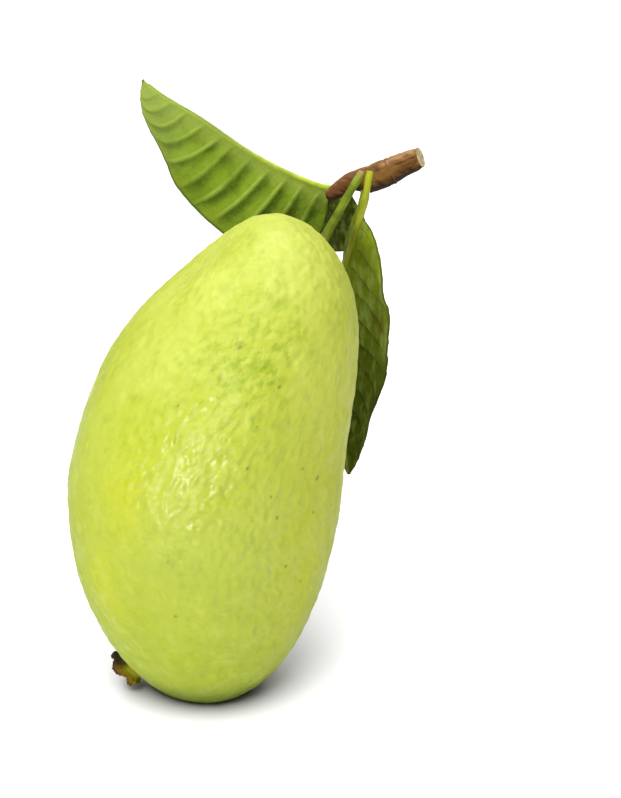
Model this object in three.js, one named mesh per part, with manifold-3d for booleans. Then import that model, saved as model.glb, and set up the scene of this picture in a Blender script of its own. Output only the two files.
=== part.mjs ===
// A guava as picked: one pear-green fruit with its dried calyx, its stalk, a cut piece of woody twig
// and the two leaves that grow from the twig. Millimetres, +Z up. The fruit stands on the small flat
// spot at its blunt blossom end, and the origin is the middle of that spot. +X is to the right and +Y
// away from someone who looks at the side of the fruit that shows best.
import * as THREE from "three";
import { mergeVertices } from "three/addons/utils/BufferGeometryUtils.js";
import Module from "manifold-3d";

const wasm = await Module();
wasm.setup();

// Driving dimensions of the fruit
const FRUIT_HALF_WIDTH = 29.85;
const FRUIT_HALF_HEIGHT = 55.4;
const REST_CUT = 2.8; // height of the cap that the flat spot takes off the blossom end
const LEAN_RIGHT = 15.8; // how far the narrow top leans over
const LEAN_BACK = 6;
const LEAN_FROM = 0.466; // share of the height where the lean starts
const FOOT_RIGHT = 1.2; // the flat spot is this far right of the belly's middle
const FOOT_BACK = 1.5;
const FOOT_TO = 0.35; // share of the height where the belly reaches its own middle
const RIB_COUNT = 5;
const RIB_RISE = 0.25;
const PEBBLE_RISE = 0.13;
const PEBBLE_PITCH = 9.5;

// Low swells and hollows of the fruit: share of the height, bearing in degrees from +X round to +Y,
// spread in degrees seen from the middle of the fruit, and rise in millimetres.
const SWELLS = [
  { height: 0.78, bearing: 180, spread: 22, rise: 1.55 },
  { height: 0.53, bearing: 180, spread: 22, rise: -2.3 },
  { height: 0.25, bearing: 180, spread: 22, rise: -0.4 },
  { height: 0.93, bearing: 185, spread: 20, rise: -3.4 },
  { height: 0.5, bearing: 0, spread: 24, rise: 1.4 },
  { height: 0.9, bearing: 10, spread: 22, rise: -0.95 },
  { height: 0.62, bearing: 95, spread: 26, rise: 0.9 },
  { height: 0.33, bearing: 62, spread: 24, rise: -0.8 },
  { height: 0.42, bearing: 128, spread: 24, rise: 0.7 },
];

// Where the blossom end and the stem end sit on the fruit
const CALYX_SITE = { height: 0.082, bearing: 186 };
const STEM_SITE = { height: 0.905, bearing: 42 };
const COLLAR = { spread: 9, rise: 0.7 }; // skin raised round the calyx
const DIMPLE = { spread: 10, rise: -1.4 }; // hollow that the stalk stands in

// Calyx, the dried crown of sepals
const SEPAL_COUNT = 5;
const CALYX_BASE_RADIUS = 3.5;
const CALYX_RIM_RADIUS = 4.5;
const CALYX_WALL = 0.95;
const CALYX_SINK = 1.6;
const SEPAL_HEIGHT = 3.1;
const NOTCH_HEIGHT = 1.4;
const CALYX_FLOOR = 0.9;
const SEPAL_SHARES = [1, 0.78, 0.95, 0.66, 0.88]; // how much of its full height each sepal keeps

// Twig: middle line from the shoot's tip past the node to the cut end, with the radius at each point
const TWIG_LINE = [
  [26.8, 24, 106.5],
  [27.5, 24, 107.1],
  [29.7, 24, 108.6],
  [32.5, 24, 110.3],
  [36.2, 24, 110.8],
  [40.2, 24, 112.4],
  [44.4, 24, 114.4],
  [48.0, 24, 116.0],
];
const TWIG_RADII = [1.4, 1.9, 2.25, 2.9, 3.15, 2.9, 2.6, 2.25];

// Stalk of the fruit, from the node of the twig to the dimple
const STALK_LINE = [
  [34.5, 22.9, 112.2],
  [32.9, 20.9, 110.6],
  [29.7, 19.5, 105.2],
  [27.0, 18.0, 100.6],
  [25.2, 16.6, 97.8],
  [22.6, 14.0, 94.6],
];
const STALK_RADII = [0.9, 0.85, 0.9, 1.0, 1.3, 1.5];

// Leaves. The rib runs from the twig along the leaf stalk and the blade to the tip, and under is the
// way the underside faces. Each half turns away from the underside by its fold, in degrees at the
// base, the middle and the tip, and by its arch on the way out to the margin. from and to are the
// shares of the blade where a half starts and ends, fullness and taper how squarely its base is
// rounded, and base the share of its width that it starts with.
const BLADE_THICKNESS = 0.7;
const VEIN_RISE = 0.45;
const VEIN_LEAD = 0.22; // how far towards the tip the side veins run on their way to the margin
const UPPER_LEAF = {
  rib: [
    [32.4, 24.2, 110.2],
    [28.2, 27.0, 107.8],
    [24.2, 29.8, 108.2],
    [17.6, 34.4, 109.9],
    [9.6, 40.3, 112.9],
    [4.6, 43.7, 115.5],
    [-1.9, 48.6, 118.9],
    [-10.7, 55.0, 122.7],
    [-15.4, 59.2, 125.3],
  ],
  stalkShare: 0.02,
  halfWidth: 19.0,
  widest: 0.34,
  under: [-0.43, -0.71, 0.52],
  halves: [
    { fold: [0, 0, 0], arch: 12, from: 0.075, fullness: 12, taper: 0.5, base: 0.06 },
    { fold: [121, 119, 185], arch: 8, from: 0.045, to: 0.86, fullness: 9, taper: 0.5, base: 0.16 },
  ],
  veins: 11,
  wave: 0.6,
  ribRadius: 0.8,
};
const HANGING_LEAF = {
  rib: [
    [36.3, 22.0, 112.9],
    [35.8, 20.1, 110.8],
    [35.1, 20.5, 106.9],
    [33.7, 22.5, 100.8],
    [32.0, 24.6, 94.5],
    [30.5, 27.4, 87.6],
    [29.8, 30.7, 71.5],
    [29.9, 30.2, 57.4],
    [30.8, 28.0, 48.1],
    [31.9, 25.2, 40.7],
  ],
  stalkShare: 0.07,
  halfWidth: 16.1,
  widest: 0.46,
  under: [0.66, 0.75, 0],
  halves: [
    { fold: [-5, -42, -15], arch: -25, from: 0.41, fullness: 2, taper: 0.7, base: 0.15 },
    { fold: [0, 2, 0], arch: 8, from: 0.085, fullness: 1.85, taper: 0.54, base: 0.04 },
  ],
  veins: 12,
  wave: 0.4,
  ribRadius: 0.85,
};

// Settings of the facets
const FRUIT_RINGS = 38;
const FRUIT_SIDES = 50;
const ROWS_PER_VEIN = 3;
const BLADE_STATIONS = [0, 0.16, 0.44, 0.72, 0.9, 1];
const GAP = 0.3; // clearance between pieces that touch

const degrees = THREE.MathUtils.degToRad;
const smooth = THREE.MathUtils.smoothstep;
const point = ([x, y, z]) => new THREE.Vector3(x, y, z);

// Direction on the unit ball for a share of the height and a bearing
function siteDirection({ height, bearing }) {
  const up = 2 * height - 1;
  const out = Math.sqrt(1 - up * up);
  const turn = degrees(bearing);
  return new THREE.Vector3(out * Math.cos(turn), out * Math.sin(turn), up);
}

// Bell of height 1 in the direction of a site, falling off over its spread
function bell(direction, site, spread) {
  const share = direction.angleTo(site) / degrees(spread);
  return Math.exp(-share * share);
}

const CALYX_WAY = siteDirection(CALYX_SITE);
const STEM_WAY = siteDirection(STEM_SITE);
const SWELL_WAYS = SWELLS.map(siteDirection);

// The skin of the fruit in a direction on the unit ball: a tall ball whose top leans over, with
// swells, five low ribs and a fine pebbling. grow lifts the skin for clearance cuts.
function skin(direction, grow = 0) {
  const share = (direction.z + 1) / 2;
  const outward = new THREE.Vector3(
    direction.x / FRUIT_HALF_WIDTH,
    direction.y / FRUIT_HALF_WIDTH,
    direction.z / FRUIT_HALF_HEIGHT,
  ).normalize();
  const ball = new THREE.Vector3(
    direction.x * FRUIT_HALF_WIDTH,
    direction.y * FRUIT_HALF_WIDTH,
    direction.z * FRUIT_HALF_HEIGHT,
  );
  const level = Math.sqrt(Math.max(0, 1 - direction.z * direction.z));
  const bearing = Math.atan2(direction.y, direction.x);
  let rise = grow;
  SWELLS.forEach((swell, i) => {
    rise += swell.rise * bell(direction, SWELL_WAYS[i], swell.spread);
  });
  rise += COLLAR.rise * bell(direction, CALYX_WAY, COLLAR.spread);
  rise += DIMPLE.rise * bell(direction, STEM_WAY, DIMPLE.spread);
  rise += RIB_RISE * level * level * Math.cos(RIB_COUNT * bearing + 0.6);
  const pitch = (2 * Math.PI) / PEBBLE_PITCH;
  rise +=
    PEBBLE_RISE *
    Math.sin(ball.x * pitch + 1.3 * Math.sin(ball.z * pitch * 0.5)) *
    Math.sin(ball.y * pitch + 0.7) *
    Math.cos(ball.z * pitch * 0.62);
  const lean = smooth(share, LEAN_FROM, 1);
  const foot = smooth(share, 0, FOOT_TO);
  return ball
    .addScaledVector(outward, rise)
    .add(
      new THREE.Vector3(
        LEAN_RIGHT * lean - FOOT_RIGHT * foot,
        LEAN_BACK * lean - FOOT_BACK * foot,
        FRUIT_HALF_HEIGHT - REST_CUT,
      ),
    );
}

// Outward direction of the skin, from three neighbouring points
function skinNormal(direction) {
  const step = 0.02;
  const side = new THREE.Vector3(0, 0, 1).cross(direction).normalize();
  const rise = direction.clone().cross(side);
  const at = (way, amount) =>
    skin(direction.clone().addScaledVector(way, amount).normalize());
  const across = at(side, step).sub(at(side, -step));
  const along = at(rise, step).sub(at(rise, -step));
  const normal = across.cross(along).normalize();
  return normal.dot(direction) > 0 ? normal : normal.negate();
}

// Unit direction of ring and side, with one pole of the mesh on the calyx and the other on the stem
function meridianDirection(polar, turn) {
  const stemTurn = new THREE.Vector3().crossVectors(
    CALYX_WAY.clone().negate(),
    STEM_WAY,
  );
  const angle = Math.asin(stemTurn.length());
  const start = stemTurn.clone().normalize();
  const second = CALYX_WAY.clone().cross(start);
  const direction = CALYX_WAY.clone()
    .multiplyScalar(Math.cos(polar))
    .addScaledVector(start, Math.sin(polar) * Math.cos(turn))
    .addScaledVector(second, Math.sin(polar) * Math.sin(turn));
  return direction.applyAxisAngle(start, angle * smooth(polar, 0, Math.PI));
}

// Closed mesh of rings between two end points: rings[i][j] are the points of ring i
function ringsGeometry(first, rings, last) {
  const sides = rings[0].length;
  const positions = [first, ...rings.flat(), last].flatMap((p) => [
    p.x,
    p.y,
    p.z,
  ]);
  const index = [];
  const at = (i, j) => 1 + i * sides + (j % sides);
  const end = 1 + rings.length * sides;
  for (let j = 0; j < sides; j++) {
    index.push(0, at(0, j + 1), at(0, j));
    index.push(end, at(rings.length - 1, j), at(rings.length - 1, j + 1));
  }
  for (let i = 0; i < rings.length - 1; i++)
    for (let j = 0; j < sides; j++) {
      index.push(at(i, j), at(i, j + 1), at(i + 1, j + 1));
      index.push(at(i, j), at(i + 1, j + 1), at(i + 1, j));
    }
  const geometry = new THREE.BufferGeometry();
  geometry.setAttribute(
    "position",
    new THREE.Float32BufferAttribute(positions, 3),
  );
  geometry.setIndex(index);
  return geometry;
}

// Geometry to solid and back, turned face out if it was built inside out
function toSolid(geometry) {
  const merged = mergeVertices(geometry, 1e-4);
  const make = (triVerts) =>
    new wasm.Manifold(
      new wasm.Mesh({
        numProp: 3,
        vertProperties: new Float32Array(merged.attributes.position.array),
        triVerts,
      }),
    );
  const faces = new Uint32Array(merged.index.array);
  const solid = make(faces);
  if (solid.volume() > 0) return solid;
  for (let i = 0; i < faces.length; i += 3)
    [faces[i + 1], faces[i + 2]] = [faces[i + 2], faces[i + 1]];
  return make(faces);
}

function toGeometry(solid) {
  const mesh = solid.getMesh();
  const positions = [];
  for (let i = 0; i < mesh.numVert; i++)
    for (let k = 0; k < 3; k++)
      positions.push(mesh.vertProperties[i * mesh.numProp + k]);
  const geometry = new THREE.BufferGeometry();
  geometry.setAttribute(
    "position",
    new THREE.Float32BufferAttribute(positions, 3),
  );
  geometry.setIndex(Array.from(mesh.triVerts));
  return geometry;
}

// The fruit, grown by a clearance where another piece is cut back from it
function fruitSolid(grow = 0) {
  const rings = [];
  for (let i = 1; i < FRUIT_RINGS; i++) {
    const polar = (Math.PI * i) / FRUIT_RINGS;
    rings.push(
      Array.from({ length: FRUIT_SIDES }, (_, j) =>
        skin(meridianDirection(polar, (2 * Math.PI * j) / FRUIT_SIDES), grow),
      ),
    );
  }
  return toSolid(
    ringsGeometry(skin(CALYX_WAY, grow), rings, skin(STEM_WAY, grow)),
  );
}

// Everything below the surface that the fruit stands on
function belowGround() {
  const slab = new THREE.BoxGeometry(200, 200, 50).translate(0, 0, -25);
  slab.deleteAttribute("normal");
  slab.deleteAttribute("uv");
  return toSolid(slab);
}

// Round bar along a line of points, with a radius at each, closed at both ends
function barSolid(line, radii, sides, steps, knobble = 0) {
  const curve = new THREE.CatmullRomCurve3(
    line.map(point),
    false,
    "centripetal",
  );
  const frames = curve.computeFrenetFrames(steps);
  const radiusAt = (share) => {
    const place = share * (radii.length - 1);
    const i = Math.min(Math.floor(place), radii.length - 2);
    return THREE.MathUtils.lerp(
      radii[i],
      radii[i + 1],
      smooth(place - i, 0, 1),
    );
  };
  const rings = [];
  for (let i = 0; i <= steps; i++) {
    const centre = curve.getPointAt(i / steps);
    rings.push(
      Array.from({ length: sides }, (_, j) => {
        const turn = (2 * Math.PI * j) / sides;
        const radius =
          radiusAt(i / steps) +
          knobble * Math.sin(3 * turn + i * 0.9) * Math.cos(i * 1.7 + turn);
        return centre
          .clone()
          .addScaledVector(frames.normals[i], radius * Math.cos(turn))
          .addScaledVector(frames.binormals[i], radius * Math.sin(turn));
      }),
    );
  }
  return toSolid(
    ringsGeometry(curve.getPointAt(0), rings, curve.getPointAt(1)),
  );
}

// The shoot's tip of the twig is rounded by two smaller rings before its first full one
function twigSolid(grow = 0) {
  return barSolid(
    TWIG_LINE,
    TWIG_RADII.map((r) => r + grow),
    14,
    16,
    0.1,
  );
}

// Value along a leaf from its values at the base, the middle and the tip
function along([base, middle, tip], share) {
  return share < 0.5
    ? THREE.MathUtils.lerp(base, middle, smooth(share, 0, 0.5))
    : THREE.MathUtils.lerp(middle, tip, smooth(share, 0.5, 1));
}

// Half width of the blade as a share of its widest, rounded at the base and pointed at the tip
function bladeOutline({ widest }, { from = 0, to = 1, fullness, taper, base }, share) {
  if (share > widest) {
    const left = Math.max(0, to - share) / (to - widest);
    return Math.max(0.03, Math.sin((Math.PI / 2) * left) ** 0.72);
  }
  const back = Math.min(1, (widest - share) / (widest - from));
  return Math.max(base, (1 - back ** fullness) ** taper);
}

// The way the underside of a leaf faces, square to its rib
function acrossRib({ under }, tangent) {
  const way = point(under);
  return way.addScaledVector(tangent, -way.dot(tangent)).normalize();
}

// Point on the middle layer of a leaf: start is where the side vein through it leaves the rib
function bladePoint(leaf, curve, start, station) {
  const half = leaf.halves[station >= 0 ? 0 : 1];
  const out = Math.abs(station);
  const lead = VEIN_LEAD * 4 * start * (1 - start);
  const end = start + lead;
  const share = start + lead * (0.6 * out + 0.4 * out ** 3);
  const place = leaf.stalkShare + (1 - leaf.stalkShare) * share;
  const centre = curve.getPointAt(place);
  const tangent = curve.getTangentAt(place);
  const underside = acrossRib(leaf, tangent);
  const near = underside.clone().cross(tangent);
  const width = leaf.halfWidth * bladeOutline(leaf, half, end);
  const first = degrees(along(half.fold, share) * smooth(width, 0, 4));
  const turn = degrees(half.arch);
  const level = (width / turn) * (Math.sin(first + turn * out) - Math.sin(first));
  const away = (width / turn) * (Math.cos(first) - Math.cos(first + turn * out));
  const phase = start * leaf.veins;
  const ridge = (0.5 + 0.5 * Math.cos(2 * Math.PI * phase)) ** 1.5;
  const held = smooth(out, 0, 0.2) * (1 - 0.7 * smooth(out, 0.75, 1));
  const lift =
    VEIN_RISE * ridge * held * Math.min(1, (width / leaf.halfWidth) * 1.4) +
    leaf.wave * out * out * Math.sin(2 * Math.PI * 3.3 * share + 1);
  const normalTurn = first + turn * out;
  const side = Math.sign(station) || 1;
  return centre
    .addScaledVector(near, side * (level + lift * Math.sin(normalTurn)))
    .addScaledVector(underside, -away + lift * Math.cos(normalTurn));
}

// Blade as one closed sheet: the same grid on both faces, so that the two never cross
function bladeSolid(leaf, curve) {
  const stations = [
    ...BLADE_STATIONS.slice(1)
      .reverse()
      .map((s) => -s),
    ...BLADE_STATIONS,
  ];
  const rows = leaf.veins * ROWS_PER_VEIN;
  const middle = [];
  for (let i = 0; i <= rows; i++)
    middle.push(
      stations.map((station) => bladePoint(leaf, curve, i / rows, station)),
    );
  const last = stations.length - 1;
  const clampRow = (i) => Math.max(0, Math.min(rows, i));
  const clampSide = (j) => Math.max(0, Math.min(last, j));
  const normalAt = (i, j) => {
    const ahead = middle[clampRow(i + 1)][j]
      .clone()
      .sub(middle[clampRow(i - 1)][j]);
    const across = middle[i][clampSide(j + 1)]
      .clone()
      .sub(middle[i][clampSide(j - 1)]);
    return across.cross(ahead).normalize();
  };
  const positions = [];
  for (const face of [0.5, -0.5])
    for (let i = 0; i <= rows; i++)
      for (let j = 0; j <= last; j++) {
        const p = middle[i][j]
          .clone()
          .addScaledVector(normalAt(i, j), face * BLADE_THICKNESS);
        positions.push(p.x, p.y, p.z);
      }
  const sheet = (rows + 1) * (last + 1);
  const at = (face, i, j) => face * sheet + i * (last + 1) + j;
  const index = [];
  for (let i = 0; i < rows; i++)
    for (let j = 0; j < last; j++) {
      const [a, b, c, d] = [
        [i, j],
        [i, j + 1],
        [i + 1, j + 1],
        [i + 1, j],
      ];
      index.push(at(0, ...a), at(0, ...b), at(0, ...c));
      index.push(at(0, ...a), at(0, ...c), at(0, ...d));
      index.push(at(1, ...a), at(1, ...c), at(1, ...b));
      index.push(at(1, ...a), at(1, ...d), at(1, ...c));
    }
  const rim = [];
  for (let j = 0; j < last; j++) rim.push([0, j]);
  for (let i = 0; i < rows; i++) rim.push([i, last]);
  for (let j = last; j > 0; j--) rim.push([rows, j]);
  for (let i = rows; i > 0; i--) rim.push([i, 0]);
  rim.forEach((a, k) => {
    const b = rim[(k + 1) % rim.length];
    index.push(at(0, ...a), at(1, ...a), at(1, ...b));
    index.push(at(0, ...a), at(1, ...b), at(0, ...b));
  });
  const geometry = new THREE.BufferGeometry();
  geometry.setAttribute(
    "position",
    new THREE.Float32BufferAttribute(positions, 3),
  );
  geometry.setIndex(index);
  return toSolid(geometry);
}

// Leaf: the blade with its stalk and raised rib fused on, cut back from the twig
function leafSolid(leaf) {
  const curve = new THREE.CatmullRomCurve3(
    leaf.rib.map(point),
    false,
    "centripetal",
  );
  const line = [];
  const count = 14;
  for (let i = 0; i <= count; i++) {
    const place = (i / count) * 0.97;
    const tangent = curve.getTangentAt(place);
    const p = curve
      .getPointAt(place)
      .addScaledVector(acrossRib(leaf, tangent), 0.25 * (1 - place));
    line.push(p.toArray());
  }
  const radii = line.map((_, i) =>
    THREE.MathUtils.lerp(leaf.ribRadius, 0.42, (i / count) ** 0.6),
  );
  return bladeSolid(leaf, curve)
    .add(barSolid(line, radii, 8, 26))
    .subtract(twigSolid(GAP));
}

// Calyx: a low cup whose rim rises in five uneven sepals, standing square on the skin
function calyxSolid() {
  const sides = SEPAL_COUNT * 8;
  const foot = skin(CALYX_WAY);
  const out = skinNormal(CALYX_WAY);
  const first = new THREE.Vector3(0, 0, 1).cross(out).normalize();
  const second = out.clone().cross(first);
  const place = (radius, height, turn) =>
    foot
      .clone()
      .addScaledVector(out, height)
      .addScaledVector(first, radius * Math.cos(turn))
      .addScaledVector(second, radius * Math.sin(turn));
  const rimHeight = (turn) => {
    const share = (turn / (2 * Math.PI)) * SEPAL_COUNT;
    const lobe = Math.abs(Math.sin(Math.PI * share)) ** 0.8;
    const full = SEPAL_SHARES[Math.floor(share) % SEPAL_COUNT];
    return NOTCH_HEIGHT + (SEPAL_HEIGHT * full - NOTCH_HEIGHT) * lobe;
  };
  const ring = (radius, height) =>
    Array.from({ length: sides }, (_, j) => {
      const turn = (2 * Math.PI * j) / sides;
      const top = rimHeight(turn);
      return place(
        typeof radius === "function" ? radius(top) : radius,
        typeof height === "function" ? height(top) : height,
        turn,
      );
    });
  const curl = (top) => CALYX_RIM_RADIUS - 0.35 * Math.max(0, top - NOTCH_HEIGHT);
  const inner = CALYX_RIM_RADIUS - CALYX_WALL;
  return toSolid(
    ringsGeometry(
      place(0, -CALYX_SINK, 0),
      [
        ring(CALYX_BASE_RADIUS, -CALYX_SINK),
        ring(CALYX_BASE_RADIUS, 0.2),
        ring(CALYX_RIM_RADIUS, 1.2),
        ring((top) => curl(top), (top) => Math.max(top, 1.3)),
        ring((top) => curl(top) - CALYX_WALL * 0.6, (top) => Math.max(top, 1.3) - 0.1),
        ring(inner, 1.15),
        ring(inner * 0.8, CALYX_FLOOR),
      ],
      place(0, CALYX_FLOOR + 0.3, 0),
    ),
  ).subtract(fruitSolid(GAP));
}

function stalkSolid() {
  return barSolid(STALK_LINE, STALK_RADII, 12, 18)
    .subtract(fruitSolid(GAP))
    .subtract(twigSolid(GAP));
}

// The one body with most material of what a cut leaves
function largestPart(solid) {
  return solid
    .decompose()
    .reduce((most, part) => (part.volume() > most.volume() ? part : most));
}

function piece(name, solid, colour, roughness) {
  const mesh = new THREE.Mesh(
    toGeometry(largestPart(solid)),
    new THREE.MeshStandardMaterial({ color: colour, roughness, metalness: 0 }),
  );
  mesh.name = name;
  return mesh;
}

const guava = new THREE.Group();
guava.add(
  piece("fruit", fruitSolid().subtract(belowGround()), 0xc9d95c, 0.42),
  piece("calyx", calyxSolid(), 0x7d6a25, 0.85),
  piece("fruit_stalk", stalkSolid(), 0x9aad3a, 0.6),
  piece("twig", twigSolid(), 0x7a5a33, 0.85),
  piece("upper_leaf", leafSolid(UPPER_LEAF), 0x8fa53c, 0.6),
  piece("hanging_leaf", leafSolid(HANGING_LEAF), 0x70872c, 0.6),
);

export default guava;
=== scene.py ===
# A picked guava on a pale table: the fruit, its dried crown, its stalk, a cut piece of twig and the
# two leaves that grow from the twig. Metres, in the same frame as the solids.
import math

import bpy
import numpy as np
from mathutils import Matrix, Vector, noise


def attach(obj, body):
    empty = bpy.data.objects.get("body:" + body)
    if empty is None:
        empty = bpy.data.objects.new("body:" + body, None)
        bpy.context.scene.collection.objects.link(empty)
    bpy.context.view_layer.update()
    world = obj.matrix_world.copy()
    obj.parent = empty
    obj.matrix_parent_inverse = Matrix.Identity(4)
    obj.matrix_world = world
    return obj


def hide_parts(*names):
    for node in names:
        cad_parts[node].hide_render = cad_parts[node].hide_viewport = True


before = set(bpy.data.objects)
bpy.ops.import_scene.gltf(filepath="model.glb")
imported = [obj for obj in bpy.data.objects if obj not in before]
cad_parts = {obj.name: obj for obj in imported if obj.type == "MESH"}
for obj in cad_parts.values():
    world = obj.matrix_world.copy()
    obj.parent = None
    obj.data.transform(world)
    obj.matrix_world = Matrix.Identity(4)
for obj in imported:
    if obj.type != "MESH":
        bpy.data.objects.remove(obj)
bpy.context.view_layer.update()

# The fruit is one pear-shaped berry with a thin waxy skin over pale flesh. It grew as one piece,
# with five faint ribs, low swells and a pebbled skin full of oil glands, and it stands on a small
# flat spot where its blossom end gives way under its weight.
FRUIT_HALF_WIDTH = 0.02985
FRUIT_HALF_HEIGHT = 0.0554
REST_CUT = 0.0028
LEAN_RIGHT, LEAN_BACK, LEAN_FROM = 0.0158, 0.006, 0.466
FOOT_RIGHT, FOOT_BACK, FOOT_TO = 0.0012, 0.0015, 0.35
RIB_COUNT, RIB_RISE = 5, 0.00025
CROWN_SEAT_RISE, DIMPLE_DEPTH = 0.0007, 0.0014
# Each swell: share of the height, bearing and spread in degrees, rise
SWELLS = (
    (0.78, 180, 22, 0.00155),
    (0.53, 180, 22, -0.0023),
    (0.25, 180, 22, -0.0004),
    (0.93, 185, 20, -0.0034),
    (0.5, 0, 24, 0.0014),
    (0.9, 10, 22, -0.00095),
    (0.62, 95, 26, 0.0009),
    (0.33, 62, 24, -0.0008),
    (0.42, 128, 24, 0.0007),
)
# Where the skin is most mottled, and where the sun has turned it yellow, with two spots on the right
# flank that are painted shade, the yellower, less bluish tone of a side in shade: height, bearing,
# spread
MOTTLED_SPOT = (0.78, 277, 17)
SUNNY_AND_FLANK_SHADE_SPOTS = ((0.53, 240, 13), (0.36, 228, 11), (0.6, 345, 30), (0.35, 330, 22), (0.45, 75, 18))
RUBBED_SPOTS = ((0.62, 266, 34), (0.4, 285, 26), (0.5, 90, 40), (0.6, 180, 20))
# Small brown scars: height, bearing, radius
SCARS = (
    (0.81, 267, 0.0006),
    (0.6, 288, 0.0005),
    (0.54, 327, 0.0008),
    (0.49, 306, 0.0006),
    (0.74, 292, 0.0005),
    (0.3, 262, 0.0005),
    (0.38, 312, 0.0006),
    (0.6, 110, 0.0007),
    (0.42, 150, 0.0006),
)
FRUIT_RINGS, FRUIT_SIDES = 310, 310
PEBBLE_RISE, GRAIN_RISE, PIT_DEPTH = 0.00017, 0.00011, 0.0001
GRAIN_SLANT = math.radians(12)
# How high above the table the painted shade at the foot of the fruit reaches
FOOT_SHADE_HEIGHT = 0.011
FLAT_SPOT_ROUNDING = 0.0003


def smooth(value, low, high):
    share = np.clip((np.asarray(value, float) - low) / (high - low), 0, 1)
    return share * share * (3 - 2 * share)


def unit(vectors):
    return vectors / np.linalg.norm(vectors, axis=-1, keepdims=True)


def site_way(height, bearing):
    """Direction from the middle of the fruit to a place on its skin."""
    up = 2 * height - 1
    out = math.sqrt(1 - up * up)
    turn = math.radians(bearing)
    return np.array((out * math.cos(turn), out * math.sin(turn), up))


CALYX_WAY = site_way(0.082, 186)
STEM_WAY = site_way(0.905, 42)


def bell(ways, site, spread):
    angle = np.degrees(np.arccos(np.clip(ways @ site, -1, 1)))
    return np.exp(-((angle / spread) ** 2))


def ball_place(ways):
    return ways * np.array((FRUIT_HALF_WIDTH, FRUIT_HALF_WIDTH, FRUIT_HALF_HEIGHT))


def skin(ways, lift=0.0):
    """Places on the skin for directions from the middle of the fruit."""
    ball = ball_place(ways)
    outward = unit(ways / np.array((FRUIT_HALF_WIDTH, FRUIT_HALF_WIDTH, FRUIT_HALF_HEIGHT)))
    level = 1 - ways[..., 2] ** 2
    bearing = np.arctan2(ways[..., 1], ways[..., 0])
    rise = lift + RIB_RISE * level * np.cos(RIB_COUNT * bearing + 0.6)
    for height, way, spread, swell in SWELLS:
        rise = rise + swell * bell(ways, site_way(height, way), spread)
    rise = rise + CROWN_SEAT_RISE * bell(ways, CALYX_WAY, 9) - DIMPLE_DEPTH * bell(ways, STEM_WAY, 10)
    share = (ways[..., 2] + 1) / 2
    lean = smooth(share, LEAN_FROM, 1)
    foot = smooth(share, 0, FOOT_TO)
    moved = ball + outward * np.asarray(rise)[..., None]
    moved[..., 0] += LEAN_RIGHT * lean - FOOT_RIGHT * foot
    moved[..., 1] += LEAN_BACK * lean - FOOT_BACK * foot
    moved[..., 2] += FRUIT_HALF_HEIGHT - REST_CUT
    return moved


def turned(vectors, axis, angles):
    """Vectors turned about an axis, each by its own angle."""
    cosine = np.cos(angles)[..., None]
    sine = np.sin(angles)[..., None]
    along_axis = (vectors @ axis)[..., None] * axis
    return vectors * cosine + np.cross(axis, vectors) * sine + along_axis * (1 - cosine)


def meridian_ways(polar, turn):
    """Directions on meridians that run from the crown to the stalk."""
    stem_turn = np.cross(-CALYX_WAY, STEM_WAY)
    angle = math.asin(np.linalg.norm(stem_turn))
    start = unit(stem_turn)
    second = np.cross(CALYX_WAY, start)
    ways = (
        np.cos(polar)[..., None] * CALYX_WAY
        + (np.sin(polar) * np.cos(turn))[..., None] * start
        + (np.sin(polar) * np.sin(turn))[..., None] * second
    )
    return turned(ways, start, angle * smooth(polar, 0, math.pi))


def noisy(places, scale, seed=0.0):
    """Smooth noise between about -1 and 1 at each place."""
    shifted = places.reshape(-1, 3) * scale + seed
    return np.array([noise.noise(p) for p in shifted.tolist()]).reshape(places.shape[:-1])


def celled(places, scale, seed=0.0):
    """Distance to the nearest point of a scatter, as a share of the scatter's pitch."""
    shifted = places.reshape(-1, 3) * scale + seed
    nearest = [noise.voronoi(p)[0][0] for p in shifted.tolist()]
    return np.array(nearest).reshape(places.shape[:-1])


def shell_object(name, places, faces, slot, *nodes):
    """A smooth mesh object that rides with the part and stands for its solids."""
    mesh = bpy.data.meshes.new(name)
    mesh.from_pydata(places.tolist(), [], faces.tolist() if hasattr(faces, "tolist") else faces)
    mesh.polygons.foreach_set("use_smooth", [True] * len(mesh.polygons))
    mesh.update()
    piece = bpy.data.objects.new(name, mesh)
    bpy.context.scene.collection.objects.link(piece)
    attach(piece, "root")
    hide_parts(*nodes)
    return piece


def note_values(piece, name, values):
    """Keeps one number, or three, for each point of a piece's mesh."""
    values = np.asarray(values, float)
    kind = "FLOAT" if values.ndim == 1 else "FLOAT_VECTOR"
    kept = piece.data.attributes.new(name, kind, "POINT")
    kept.data.foreach_set("value" if kind == "FLOAT" else "vector", values.ravel())


def ring_faces(rings, sides, first=0):
    """Faces between closed rings of points, with one point to close each end."""
    start = first + 1
    side = np.arange(sides)
    after = (side + 1) % sides
    faces = []
    for i in range(rings - 1):
        low, high = start + i * sides, start + (i + 1) * sides
        faces += np.stack((low + side, low + after, high + after, high + side), 1).tolist()
    last = start + rings * sides
    top = start + (rings - 1) * sides
    faces += np.stack((np.full(sides, first), start + after, start + side), 1).tolist()
    faces += np.stack((np.full(sides, last), top + side, top + after), 1).tolist()
    return faces


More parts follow.
